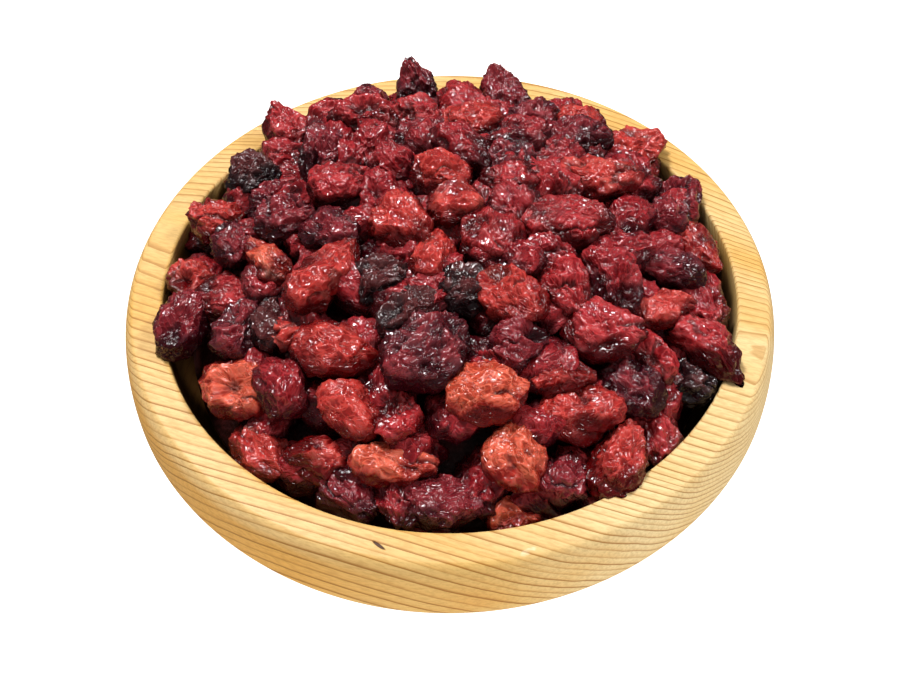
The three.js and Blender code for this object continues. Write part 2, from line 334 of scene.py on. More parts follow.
@dataclass(frozen=True, kw_only=True)
class PineWood(Finish):
    """Satin lacquered pine: growth layers round the middle of the tree, cut by the turned form.

    The tree's middle is a level line over the bowl. `across` points square to it, seen from above.
    """

    name: str = "pine_wood"
    rim: float  # the rim's height
    rim_inner_r: float
    layers: float = 44.0  # growth layers from one distance to 2.7 times it: they thicken outwards
    across: tuple[float, float] = (0.300, 0.954)
    middle_out: float = -1.6  # how far the tree's middle lies off the bowl's axis
    middle_height: float = 93.0
    middle_fall: float = 0.05  # how much lower the tree's middle gets along its length
    bend: float = 0.0085  # how the layers curl together towards the ends, at the back
    sway: tuple[float, float] = (3.4, 0.5)  # how far the layers stray, in long and in short waves
    uneven: float = 2.2  # by how many layers the thick and thin years shift them
    early: str = "e9cf97"  # the pale wood of a layer
    warm: str = "e0b466"  # its deeper coloured patches
    golden: str = "e0a23a"  # a deeper golden colour, painted on the left side as shade
    late: str = "9c6420"  # the dark line that ends a layer
    amber: str = "d98f35"  # resin
    hollow_shade: str = "3a1a0c"  # painted shade down in the hollow, where the fruit keeps the light off the wall
    bare: str = "f6e7c4"  # where the lacquer is scuffed off
    bruise: str = "4a2609"  # the floor of the nick
    nick: tuple[tuple[float, float], tuple[float, float]] = ((-15.7, -66.6), (-12.8, -68.9))
    nick_breadth: float = 0.42
    scuff: tuple[tuple[float, float], tuple[float, float]] = ((12.7, -70.4), (16.3, -68.5))
    scuff_breadth: float = 0.8
    mark_depth: float = 8.0  # how far down the side a mark reaches
    shade_full: float = 5.0  # how far below the rim the painted shade is at its deepest
    shade_end: tuple[float, float] = (24.0, 21.0)  # where the painted shade ends and begins to end, below the rim
    relief: float = 0.5
    roughness: float = 0.4
    lustre: float = 0.2
    coat: float = 0.03
    coat_roughness: float = 0.25

    def mark(self, nodes: Nodes, ends: tuple[tuple[float, float], tuple[float, float]], breadth: float) -> Field:
        """A long mark on the rim that thins to a point at both ends.

        Args:
            nodes: the material's nodes.
            ends: its two ends.
            breadth: half its width in the middle.

        Returns:
            1 in the mark and 0 beside it, with a soft edge.
        """
        start, end = Vector((*ends[0], self.rim)), Vector((*ends[1], self.rim))
        way = (end - start).normalized()
        from_middle = self.place(nodes) - tuple((start + end) / 2)
        run = nodes.dot(from_middle, tuple(way)) / ((end - start).length / 2)
        off = nodes.dot(from_middle, (way.y, -way.x, 0.0)) / breadth
        _, _, drop = nodes.parts(from_middle)
        return nodes.ramp(nodes.length(nodes.joined(run, off, drop / self.mark_depth)), 1.0, 0.6)

    def material(self) -> bpy.types.Material:
        """Make the wood.

        Returns:
            The finished material.
        """
        material, nodes, shader = self.start()
        x, y, z = nodes.parts(self.place(nodes))
        out = x * self.across[0] + y * self.across[1] - self.middle_out
        along = x * self.across[1] - y * self.across[0]
        curl = along * self.bend
        out = out + nodes.math("MAXIMUM", out, 0.0) * curl * curl
        place = nodes.joined(along * 0.16, out, z)
        sway = (nodes.noise(place, 0.045, 2.0) - 0.5) * self.sway[0]
        sway = sway + (nodes.noise(place, 0.25, 1.0) - 0.5) * self.sway[1]
        drop = self.middle_height - along * self.middle_fall - z
        depth = nodes.math("SQRT", out * out + drop * drop) + sway
        uneven = nodes.noise(nodes.joined(depth, 0.0, 0.0), 0.09, 1.0) * self.uneven
        year = nodes.math("FRACT", nodes.math("LOGARITHM", depth, math.e) * self.layers + uneven)
        line = nodes.ramp(year, 0.68, 0.93) * nodes.ramp(year, 1.0, 0.97)
        each = nodes.noise(nodes.joined(depth * 0.9, along * 0.02, 5.0), 0.8, 0.0)
        strength = nodes.ramp(each, 0.3, 0.6, 0.35, 1.0) * nodes.ramp(out.abs(), 0.0, 35.0, 0.6, 1.0)
        fibre = nodes.noise(nodes.joined(along * 0.2, out, z), 1.9, 3.0, 0.65)
        patch = nodes.noise(nodes.joined(along * 0.4, out, z), 0.035, 2.0)
        colour = nodes.mix(nodes.ramp(patch, 0.35, 0.7), srgb(self.early), srgb(self.warm))
        # Painted shade: the left side, and less so the left of the rim, is deeper and more golden, where the light
        # leaves it.
        left_side_shade = nodes.ramp(x, 0.0, -35.0) * nodes.ramp(z, self.rim - 1.0, self.rim - 5.0, 0.3, 1.0)
        colour = nodes.mix(left_side_shade * 0.8, colour, srgb(self.golden))
        colour = nodes.mix(nodes.ramp(year, 0.2, 0.9) * 0.22, colour, srgb(self.amber))
        colour = nodes.mix(nodes.ramp(patch, 0.62, 0.75) * 0.35, colour, srgb(self.amber))
        colour = nodes.mix(line * strength * 0.85, colour, srgb(self.late))
        colour = nodes.mix(nodes.ramp(fibre, 0.4, 0.65) * 0.25, colour, srgb(self.late))
        # Painted shade on the inner wall of the hollow, below the rim, where the fruit keeps the light off it.
        within = nodes.ramp(nodes.length(nodes.joined(x, y, 0.0)), self.rim_inner_r + 1.5, self.rim_inner_r)
        down = nodes.ramp(z, self.rim + 0.5, self.rim - self.shade_full)
        down = down * nodes.ramp(z, self.rim - self.shade_end[0], self.rim - self.shade_end[1])
        colour = nodes.mix(within * down * 0.9, colour, srgb(self.hollow_shade))
        scuff = self.mark(nodes, self.scuff, self.scuff_breadth) * nodes.ramp(nodes.noise(place, 1.1, 2.0), 0.4, 0.6)
        colour = nodes.mix(scuff * 0.6, colour, srgb(self.bare))
        nick = self.mark(nodes, self.nick, self.nick_breadth)
        colour = nodes.mix(nick, colour, srgb(self.bruise))
        nodes.feed(shader.inputs["Base Color"], colour)
        nodes.feed(shader.inputs["Roughness"], self.roughness + fibre * 0.16)
        height = fibre * 0.05 + line * 0.05 - nick
        nodes.feed(shader.inputs["Normal"], self.bump(nodes, height, self.relief, 0.6))
        shader.inputs["Specular IOR Level"].default_value = self.lustre
        shader.inputs["Coat Weight"].default_value = self.coat
        shader.inputs["Coat Roughness"].default_value = self.coat_roughness
        return material


@dataclass(frozen=True)
class FruitSkin(Finish):
    """The wrinkled skin of one tone of dried cherry."""

    body: str
    blush: str  # patches
    deep: str  # painted shade: in the creases, the valleys and on the underside
    ridge: str  # painted highlight on the crests
    dusk: float  # share of the skin that is darker than the body
    glow: float  # how much light passes through
    dark: float = 0.55  # painted shade: how much the underside leans to the deep colour
    upward: float = 2.0  # painted light: how much the upper side leans to the blush
    patchy: float = 3.6
    spotty: float = 1.4
    moody: float = 0.4  # how much one fruit differs from the next
    roughness: tuple[float, float] = (0.14, 0.3)
    relief: float = 0.25
    lustre: float = 0.62
    glow_colour: tuple[float, float, float] = (1.0, 0.16, 0.10)
    glow_reach: float = 1.1

    def material(self) -> bpy.types.Material:
        """Make the skin.

        Returns:
            The finished material.
        """
        material, nodes, shader = self.start()
        crest = nodes.attribute("crest")
        hollow = nodes.attribute("hollow")
        mood = nodes.attribute("mood")
        lie = nodes.attribute("lie")
        skin = nodes.attribute_vector("skin_place")
        patches = nodes.noise(skin, 0.13, 1.0, 0.5)
        spots = nodes.noise(skin + (40.0, 0.0, 9.0), 0.34, 2.0, 0.5)
        # Painted light and shade: each fruit's upper side leans to the blush, its underside to the deep colour. The
        # patches, spots and mood are the fruit's own tone.
        light = lie * self.upward - self.dark + (patches - 0.5) * self.patchy
        light = light + (spots - 0.5) * self.spotty + mood * self.moody
        wavy = skin * (0.6, 1.0, 1.0) + nodes.noise_vector(skin, 0.4) * 1.6
        calm = nodes.ramp(nodes.noise(skin + (3.0, 8.0, 60.0), 0.2, 1.0), 0.38, 0.62, 0.35, 1.0)
        ridge = nodes.ramp((nodes.noise(wavy, 0.5, 1.0, 0.4) - 0.5).abs(), 0.065, 0.0)
        thread = nodes.ramp((nodes.noise(wavy + (7.0, 3.0, 1.0), 0.78, 1.0, 0.4) - 0.5).abs(), 0.07, 0.0) * 0.7
        colour = nodes.mix(nodes.ramp(light, self.dusk - 0.6, self.dusk + 0.1), srgb(self.deep), srgb(self.body))
        colour = nodes.mix(nodes.ramp(light, self.dusk, 1.2), colour, srgb(self.blush))
        # Painted shade in the creases and the pit.
        colour = nodes.mix(nodes.ramp(hollow, 0.1, 0.9) * 0.85, colour, srgb(self.deep))
        swirl = nodes.noise(wavy + (2.0, 11.0, 5.0), 0.16, 1.0, 0.4) * 9.0
        strand = nodes.ramp((nodes.math("FRACT", swirl) * 2.0 - 1.0).abs(), 0.45, 0.0) * 0.8
        # Painted shade in the valleys between the wrinkles.
        valley = (1.0 - crest * 0.7) * (1.0 - ridge) * (1.0 - strand * 0.5) * (1.0 - thread)
        colour = nodes.mix(nodes.ramp(valley, 0.2, 0.8) * 0.5, colour, srgb(self.deep))
        # Painted highlight on the crests and ridges, brighter on the upper side.
        pale = nodes.math("MAXIMUM", crest * crest, nodes.math("MAXIMUM", ridge, thread) * 0.8)
        colour = nodes.mix(pale * nodes.ramp(light, -0.2, 0.9, 0.0, 0.2), colour, srgb(self.ridge))
        nodes.feed(shader.inputs["Base Color"], colour)
        nodes.feed(shader.inputs["Roughness"], nodes.ramp(spots, 0.3, 0.7, *self.roughness))
        height = nodes.math("MAXIMUM", nodes.math("MAXIMUM", ridge, thread), strand) * calm
        nodes.feed(shader.inputs["Normal"], self.bump(nodes, height, self.relief))
        shader.inputs["Specular IOR Level"].default_value = self.lustre
        shader.inputs["Subsurface Weight"].default_value = self.glow
        shader.inputs["Subsurface Radius"].default_value = self.glow_colour
        shader.inputs["Subsurface Scale"].default_value = self.glow_reach * MM
        return material


@dataclass(frozen=True)
class HeapShade(Finish):
    """The dark fruit deep in the heap, seen only between the others."""

    name: str = "heap_shade"
    dark: str = "2a0808"
    light: str = "4c1412"
    relief: float = 0.6

    def material(self) -> bpy.types.Material:
        """Make the shade.

        Returns:
            The finished material.
        """
        material, nodes, shader = self.start()
        place = self.place(nodes)
        patch = nodes.noise(place, 0.15, 3.0, 0.6)
        colour = nodes.mix(nodes.ramp(patch, 0.3, 0.7), srgb(self.dark), srgb(self.light))
        nodes.feed(shader.inputs["Base Color"], colour)
        nodes.feed(shader.inputs["Roughness"], 0.4 + patch * 0.2)
        nodes.feed(shader.inputs["Normal"], self.bump(nodes, nodes.noise(place, 0.8, 4.0), self.relief))
        return material


@dataclass(frozen=True)
class PalePaper(Finish):
    """The plain pale floor."""

    name: str = "pale_paper"
    paleness: float = 0.3
    roughness: float = 0.9
    lustre: float = 0.1
    shine: float = 1.3  # the light that it gives off, so that it stays white

    def material(self) -> bpy.types.Material:
        """Make the paper.

        Returns:
            The finished material.
        """
        material, _, shader = self.start()
        shader.inputs["Base Color"].default_value = (self.paleness, self.paleness, self.paleness, 1.0)
        shader.inputs["Roughness"].default_value = self.roughness
        shader.inputs["Specular IOR Level"].default_value = self.lustre
        shader.inputs["Emission Color"].default_value = (1.0, 1.0, 1.0, 1.0)
        shader.inputs["Emission Strength"].default_value = self.shine
        return material


class Tone(Enum):
    """The kinds of fruit, by the tone of their skin."""

    AMBER = "amber"
    SCARLET = "scarlet"
    CRIMSON = "crimson"
    GARNET = "garnet"
    MAROON = "maroon"
    BLACK = "black"


SKINS = {
    Tone.AMBER: FruitSkin("amber_skin", "a81f14", "d65236", "5c0808", "f2b49c", 0.5, 0.35),
    Tone.SCARLET: FruitSkin("scarlet_skin", "8e1012", "b82a26", "540406", "e88878", 0.55, 0.3),
    Tone.CRIMSON: FruitSkin("crimson_skin", "7e0910", "a81d24", "440307", "d47270", 0.6, 0.25),
    Tone.GARNET: FruitSkin("garnet_skin", "600812", "96161e", "38030a", "c06264", 0.6, 0.2),
    Tone.MAROON: FruitSkin("maroon_skin", "4e0a16", "7e1620", "30040c", "ac6064", 0.6, 0.15),
    Tone.BLACK: FruitSkin("black_skin", "301014", "54181a", "140508", "74605e", 0.6, 0.05),
}

# How deep the folds of each tone are: the darker fruit have dried further.
SHRUNK = {
    Tone.AMBER: 0.5,
    Tone.SCARLET: 0.6,
    Tone.CRIMSON: 0.7,
    Tone.GARNET: 0.8,
    Tone.MAROON: 0.9,
    Tone.BLACK: 1.1,
}
# The tones of the scattered fruit, each up to its share of them. The rest are black.
SCATTERED_TONES = (
    (Tone.AMBER, 0.03),
    (Tone.SCARLET, 0.13),
    (Tone.CRIMSON, 0.37),
    (Tone.GARNET, 0.76),
    (Tone.MAROON, 0.94),
)


# ---------- The bowl ----------


@dataclass(frozen=True)
class TurnedBowl:
    """The bowl, turned as one closed profile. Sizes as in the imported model, with its edges eased."""

    belly_z: float = 38.0
    foot_r: float = 43.3
    wall_curve: float = 1.39  # 1 is a cone from foot to belly, and more is rounder
    rim_outer_r: float = 71.4
    rim_inner_r: float = 65.0
    hollow_depth: float = 43.0
    hollow_fullness: float = 2.5  # 2 is an ellipse, and more is squarer
    hollow_from: float = 0.22  # the angle at which the hollow takes over from the eased edge
    eased: float = 0.8
    foot_eased: float = 1.0
    side_steps: int = 26
    shoulder_steps: int = 22
    rim_steps: int = 6
    edge_steps: int = 6
    hollow_steps: int = 24
    sides: int = 300

    @property
    def height(self) -> float:
        """The rim's height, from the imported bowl."""
        return float(PACKED_BOWL[1][2]) / MM

    @property
    def belly_r(self) -> float:
        """The widest radius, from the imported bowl."""
        return float(PACKED_BOWL[1][0]) / MM

    def wall_radius(self, heights: np.ndarray) -> np.ndarray:
        """The hollow's radius at each height, and the rim's inner one above the rim."""
        depth = np.clip((self.height - heights) / self.hollow_depth, 0, 1)
        return self.rim_inner_r * (1 - depth**self.hollow_fullness) ** (1 / self.hollow_fullness)

    def profile(self) -> np.ndarray:
        """The bowl's half section, from the middle of the foot out, up and over into the hollow.

        Returns:
            Rows of radius and height.
        """
        points: list[tuple[float, float]] = [(0.0, 0.0), (self.foot_r - self.foot_eased, 0.0)]
        for share in np.linspace(0.96, 0.02, self.side_steps):
            points.append(
                (self.belly_r - (self.belly_r - self.foot_r) * share**self.wall_curve, self.belly_z * (1 - share))
            )
        for angle in np.linspace(math.pi / 2, 0.0, self.shoulder_steps):
            out = self.rim_outer_r + (self.belly_r - self.rim_outer_r) * math.sin(angle)
            points.append((out, self.belly_z + (self.height - self.belly_z) * math.cos(angle)))
        for out in np.linspace(self.rim_outer_r - 0.5, self.rim_inner_r + self.eased + 0.5, self.rim_steps):
            points.append((out, self.height))
        for angle in np.linspace(math.pi / 2, 0.0, self.edge_steps):
            out = self.rim_inner_r + self.eased * (1 - math.cos(angle))
            points.append((out, self.height - self.eased * (1 - math.sin(angle))))
        for angle in np.linspace(self.hollow_from, math.pi / 2, self.hollow_steps):
            out = self.rim_inner_r * max(0.0, math.cos(angle)) ** (2 / self.hollow_fullness)
            depth = self.hollow_depth * math.sin(angle) ** (2 / self.hollow_fullness)
            points.append((0.0 if angle > 1.57 else out, self.height - depth))
        return np.array(points)

    def build(self) -> bpy.types.Object:
        """Turn the profile round the axis.

        Returns:
            The finished bowl, as one closed mesh.
        """
        rows = self.profile()[1:-1]
        angles = np.linspace(0, 2 * math.pi, self.sides, endpoint=False)
        rings = [
            np.stack([r * np.cos(angles), r * np.sin(angles), np.full(self.sides, z)], axis=1) for r, z in rows
        ]
        low = len(rings) * self.sides
        points = np.concatenate([*rings, [[0, 0, 0], [0, 0, self.height - self.hollow_depth]]]) * MM
        faces = []
        for i in range(self.sides):
            j = (i + 1) % self.sides
            faces.append((low, j, i))
            faces.append((low + 1, low - self.sides + i, low - self.sides + j))
            for k in range(len(rings) - 1):
                a, b = k * self.sides, (k + 1) * self.sides
                faces.append((a + i, a + j, b + j, b + i))
        bowl = make_object("turned_bowl", points, faces)
        bowl.data.materials.append(PineWood(rim=self.height, rim_inner_r=self.rim_inner_r).material())
        return bowl


def make_object(name: str, points: Iterable[Any], faces: Iterable[Any]) -> bpy.types.Object:
    """Make a smooth-shaded mesh object in the scene.

    Args:
        name: the object's name.
        points: its points, in metres.
        faces: the numbers of each face's points.

    Returns:
        The object.
    """
    mesh = bpy.data.meshes.new(name)
    mesh.from_pydata([tuple(p) for p in points], [], [tuple(f) for f in faces])
    mesh.validate()
    mesh.shade_smooth()
    made = bpy.data.objects.new(name, mesh)
    bpy.context.scene.collection.objects.link(made)
    return made


# ---------- The heap ----------


@dataclass
class Fruit:
    """One dried cherry: its middle, half sizes and lie. Angles are radians."""

    x: float
    y: float
    z: float
    rise: float  # how far it lies above the middle of its layer
    long: float
    wide: float
    deep: float
    heading: float
    lean: float
    roll: float
    fixed: bool = False
    number: int = 0
    tone: Tone = Tone.CRIMSON
    tip: float | None = None  # how pointed its slim end is, where chance doesn't decide it
    pit: float | None = None  # how deep its navel is, where chance doesn't decide it


@dataclass(frozen=True)
class Layer:
    """Fruit scattered evenly over the heap at one depth."""

    count: int
    reach: float  # how far from the axis their middles lie
    sink: float  # how far below the heap's even surface
    rise: float  # how much they differ in height
    first: int  # the number of the first


@dataclass(frozen=True)
class Heap:
    """Where the fruit lie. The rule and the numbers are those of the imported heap."""

    bowl: TurnedBowl
    crown: float = 20.0  # above the rim
    shores: tuple[float, float] = (-8.0, 5.0)  # where it meets the wall, above the rim, in front and behind
    curve: float = 2.8
    long: tuple[float, float] = (6.3, 8.7)
    wide: tuple[float, float] = (4.9, 6.6)
    deep: tuple[float, float] = (4.0, 5.4)
    moat: float = 4.0  # how far the fruit keep from the wall, to the left and right of the front
    lean: float = 0.6  # the most that one leans or rolls, in radians
    stray: float = 0.5  # how far one strays, as a share of the distance to the next
    sweeps: int = 60
    touch: float = 0.92  # how near two may come, as a share of their mean sizes
    stack: float = 1.5  # how much more a difference in height counts than one to the side
    clear: float = 7.5  # the least distance from a fixed fruit
    upper: Layer = Layer(count=84, reach=57.5, sink=3.7, rise=4.4, first=0)
    lower: Layer = Layer(count=80, reach=58.5, sink=6.9, rise=3.0, first=500)

    def top(self, x: float, y: float) -> float:
        """The height of the heap's even surface above the floor.

        Args:
            x: the place across the bowl, to the right of the axis.
            y: the same, behind the axis.

        Returns:
            The height.
        """
        rim = self.bowl.rim_inner_r
        out = min(1.0, math.hypot(x, y) / rim)
        shore = between(self.shores, (1 + y / rim) / 2)
        return self.bowl.height + shore + (self.crown - shore) * (1 - out**self.curve)

    def reach_at(self, x: float, y: float, reach: float) -> float:
        """How far from the axis a fruit's middle may lie.

        Args:
            x: a place on the fruit's bearing, to the right of the axis.
            y: the same, behind the axis.
            reach: the layer's own reach.

        Returns:
            The reach on that bearing.
        """
        bearing = math.atan2(y, x)
        at_front = max(0.0, -math.sin(bearing))
        return reach - 3 * self.moat * at_front * abs(math.cos(bearing)) ** 3

    def scattered(self, layer: Layer, fixed: list[Fruit]) -> list[Fruit]:
        """Lay fruit on an even spiral, from which every one strays a little.

        Args:
            layer: the layer that they make.
            fixed: fruit that are there already. None is laid close to them.

        Returns:
            The laid fruit, not yet pushed apart and without a height.
        """
        golden = math.pi * (3 - math.sqrt(5))
        stray = self.stray * layer.reach * math.sqrt(math.pi / layer.count)
        fruit = []
        for i in range(layer.count):
            n = layer.first + i
            out = layer.reach * math.sqrt((i + 0.5) / layer.count)
            fruit.append(
                Fruit(
                    x=out * math.cos(i * golden) + stray * (2 * chance(n, Draw.PLACE_X) - 1),
                    y=out * math.sin(i * golden) + stray * (2 * chance(n, Draw.PLACE_Y) - 1),
                    z=0.0,
                    rise=layer.rise * (chance(n, Draw.RISE) - 0.5),
                    long=between(self.long, chance(n, Draw.LONG)),
                    wide=between(self.wide, chance(n, Draw.WIDE)),
                    deep=between(self.deep, chance(n, Draw.DEEP)),
                    heading=2 * math.pi * chance(n, Draw.HEADING),
                    lean=self.lean * (2 * chance(n, Draw.LEAN) - 1),
                    roll=self.lean * (2 * chance(n, Draw.ROLL) - 1),
                    number=n,
                )
            )
        return [one for one in fruit if all(math.hypot(f.x - one.x, f.y - one.y) > self.clear for f in fixed)]

    def push(self, a: Fruit, b: Fruit) -> None:
        """Push two fruit apart if they crowd each other.

        Args:
            a: the one fruit. It stays where it is if it is fixed.
            b: the other, likewise.
        """
        dx, dy = b.x - a.x, b.y - a.y
        dz = 0.0 if a.fixed or b.fixed else self.stack * (b.rise - a.rise)
        apart = math.sqrt(dx * dx + dy * dy + dz * dz) or 1e-6
        room = self.touch * (a.long + a.wide + b.long + b.wide) / 2
        share = max(0.0, 0.3 * (room - apart) / apart)
        if not a.fixed:
            a.x -= dx * share
            a.y -= dy * share
        if not b.fixed:
            b.x += dx * share
            b.y += dy * share

    def settled(self, layer: Layer, fixed: list[Fruit]) -> list[Fruit]:
        """Lay a layer's fruit and let them settle.

        Args:
            layer: the layer.
            fixed: fruit that are there already and don't move.

        Returns:
            The fixed fruit, and then the settled ones.
        """
        scattered = self.scattered(layer, fixed)
        everything = [*fixed, *scattered]
        for _ in range(self.sweeps):
            for i, a in enumerate(everything):
                for b in everything[i + 1 :]:
                    self.push(a, b)
            for one in scattered:
                inward = min(1.0, self.reach_at(one.x, one.y, layer.reach) / math.hypot(one.x, one.y))
                one.x *= inward
                one.y *= inward
        for one in scattered:
            one.z = self.top(one.x, one.y) - layer.sink + one.rise
        return everything


@dataclass(frozen=True)
class Placed:
    """A fruit with a place of its own.

    `bearing` and `heading` are degrees from +X, `out` is the middle's distance from the axis, `up` its
    height above a level, and `lean` how the slim end leans upwards, in radians. `tip` and `pit` say how
    pointed that end is and how deep the navel, where chance doesn't decide it.
    """

    bearing: float
    out: float
    up: float
    long: float
    wide: float
    deep: float
    heading: float
    lean: float
    tone: Tone
    tip: float | None = None
    pit: float | None = None

    def fruit(self, level: Callable[[float, float], float], number: int) -> Fruit:
        """The fruit in its place.

        Args:
            level: gives the height that `up` counts from, at a place across the bowl.
            number: the fruit's own number, from which its chances are drawn.

        Returns:
            The fruit.
        """
        bearing = math.radians(self.bearing)
        x, y = self.out * math.cos(bearing), self.out * math.sin(bearing)
        return Fruit(
            x=x,
            y=y,
            z=level(x, y) + self.up,
            rise=0.0,
            long=self.long,
            wide=self.wide,
            deep=self.deep,
            heading=math.radians(self.heading),
            lean=self.lean,
            roll=0.0,
            fixed=True,
            number=number,
            tone=self.tone,
            tip=self.tip,
            pit=self.pit,
        )


# Fruit that lie across the rim or stand up at the edge: their height is above the rim.
AT_EDGE = (
    Placed(194, 60, 2.5, 8.8, 6, 5.2, 243, -0.25, Tone.MAROON),
    Placed(338, 60, 2.5, 9.2, 5, 4.8, 318, -0.25, Tone.CRIMSON, tip=0.8),
    Placed(304, 60, 0.6, 8.4, 5.4, 5, 62, 0.3, Tone.SCARLET),
    Placed(40, 60.5, 2.5, 8.4, 5.2, 4.6, 15, 0.1, Tone.SCARLET),
    Placed(97, 57.5, 6.5, 7.8, 5.4, 4.6, 98, 1.05, Tone.MAROON, tip=0.8),
    Placed(75, 56, 6, 8, 6.4, 5.4, 120, 0.7, Tone.MAROON, tip=0.8),
    Placed(131, 60, 5, 6.8, 5.4, 5, 115, 0.5, Tone.CRIMSON),
    Placed(22, 58.5, 1.5, 7.4, 5.8, 4.6, 60, 0.1, Tone.MAROON),
)
# Fruit on top of the heap: their height is above the mean of the scattered ones.
ON_TOP = (
    Placed(280, 41, 2, 8.4, 6.4, 5.4, 5, 0, Tone.AMBER),
    Placed(284, 52.5, 1.5, 8, 6.2, 5.2, 305, -0.3, Tone.AMBER),
    Placed(215, 55, 1.5, 7.8, 6.6, 5.2, 165, 0, Tone.AMBER),
    Placed(231, 38.5, 1.5, 8.8, 6.8, 5.4, 350, 0, Tone.SCARLET),
    Placed(257, 52.5, 1, 8.2, 4.2, 4.2, 350, 0, Tone.AMBER, tip=1.0),
    Placed(229, 59.5, 0.5, 7.2, 5.6, 4.6, 316, 0, Tone.SCARLET),
    Placed(241, 55.5, 1, 7, 4.2, 4.2, 170, 0, Tone.SCARLET, tip=0.9),
    Placed(187, 40, 1, 6.8, 3.8, 3.8, 130, 0.1, Tone.AMBER, tip=1.0),
    Placed(220, 20, 0, 7.2, 5.4, 4.4, 28, 0, Tone.BLACK, pit=0.3),
    Placed(283, 18, 0, 7.2, 5.2, 4.4, 0, 0, Tone.BLACK, pit=0.4),
    Placed(248, 24, 0, 7.8, 4.8, 4.4, 55, 0, Tone.BLACK),
    Placed(215, 41.5, 0, 3.6, 3.4, 3.2, 0, 0, Tone.SCARLET),
    Placed(81, 38, 1.5, 7, 5.4, 4.6, 10, 0, Tone.SCARLET),
    Placed(27, 38.5, 1.5, 9.4, 5.2, 4.6, 355, 0, Tone.SCARLET),
    Placed(177, 10.5, 2, 7.2, 6.2, 5, 305, 0, Tone.SCARLET),
    Placed(322, 40.5, 1.5, 8, 6.8, 5.2, 330, 0, Tone.CRIMSON),
    Placed(262, 33, 2, 9.6, 8, 6.2, 40, 0, Tone.MAROON),
    Placed(304, 23, 1, 8.2, 6.8, 5.2, 305, 0, Tone.SCARLET),
    Placed(302, 49, 1, 8.2, 5.6, 4.6, 0, 0, Tone.SCARLET),
    Placed(207, 43, 0, 5.8, 3.8, 4, 84, 0, Tone.BLACK),
    Placed(268, 57.5, 1, 8.6, 6, 5, 0, 0, Tone.MAROON),
    Placed(282, 60, 0, 5.2, 4, 3.6, 5, 0, Tone.AMBER),
    Placed(165, 56, 1.5, 7, 5, 4.4, 170, 0, Tone.SCARLET),
    Placed(181, 58, 0.5, 5.5, 4.6, 4.2, 0, 0, Tone.SCARLET),
    Placed(205, 29, 2, 10.8, 5.2, 5, 55, 0, Tone.SCARLET),
    Placed(4, 26, 2, 10.2, 6.6, 5.2, 5, 0, Tone.CRIMSON),
    Placed(340, 9.5, 1, 7.6, 7, 5, 80, 0, Tone.CRIMSON),
    Placed(327, 29, 1, 8.6, 5.6, 4.8, 292, 0, Tone.CRIMSON),
    Placed(93, 16, 1, 6.4, 5.8, 4.8, 0, 0, Tone.SCARLET),
    Placed(45, 20, 1, 6.8, 6, 4.8, 170, 0, Tone.CRIMSON),
    Placed(149, 29, 1, 7.2, 5.8, 4.8, 10, 0, Tone.CRIMSON),
    Placed(294, 33, 0, 5.8, 5.8, 5, 0, 0, Tone.MAROON, pit=1.0),
    Placed(303, 41, -0.5, 7.2, 4.2, 4, 5, 0, Tone.SCARLET),
    Placed(317, 51, 0.5, 7.2, 6.2, 4.8, 315, 0, Tone.MAROON),
    Placed(315, 59, 0, 6.6, 5.6, 4.6, 300, 0, Tone.CRIMSON),
    Placed(330, 58.5, 0, 6.4, 4.8, 4.4, 325, 0, Tone.BLACK),
    Placed(327, 50, 0.5, 6.6, 4, 4.2, 305, 0, Tone.CRIMSON),
    Placed(341, 48, 0.5, 7.4, 4.2, 4.2, 20, 0, Tone.SCARLET),
    Placed(5, 57, 1, 6.4, 5.2, 4.8, 310, 0, Tone.SCARLET),
    Placed(350, 58, 0, 6, 5, 4.6, 305, 0, Tone.CRIMSON),
    Placed(249, 58, 0, 7.4, 5.6, 4.8, 300, 0, Tone.MAROON),
    Placed(204, 49, 0.5, 7.6, 5, 4.6, 70, 0, Tone.MAROON),
    Placed(257, 44, 0, 6.4, 4.2, 4.2, 80, 0, Tone.CRIMSON),
    Placed(115, 47, 1.5, 8.4, 5.2, 4.8, 350, 0, Tone.CRIMSON),
    Placed(48, 47, 1.5, 8, 6.4, 5, 10, 0, Tone.MAROON),
    Placed(247, 9, 0, 7.6, 4.2, 4.4, 70, 0, Tone.SCARLET),
)


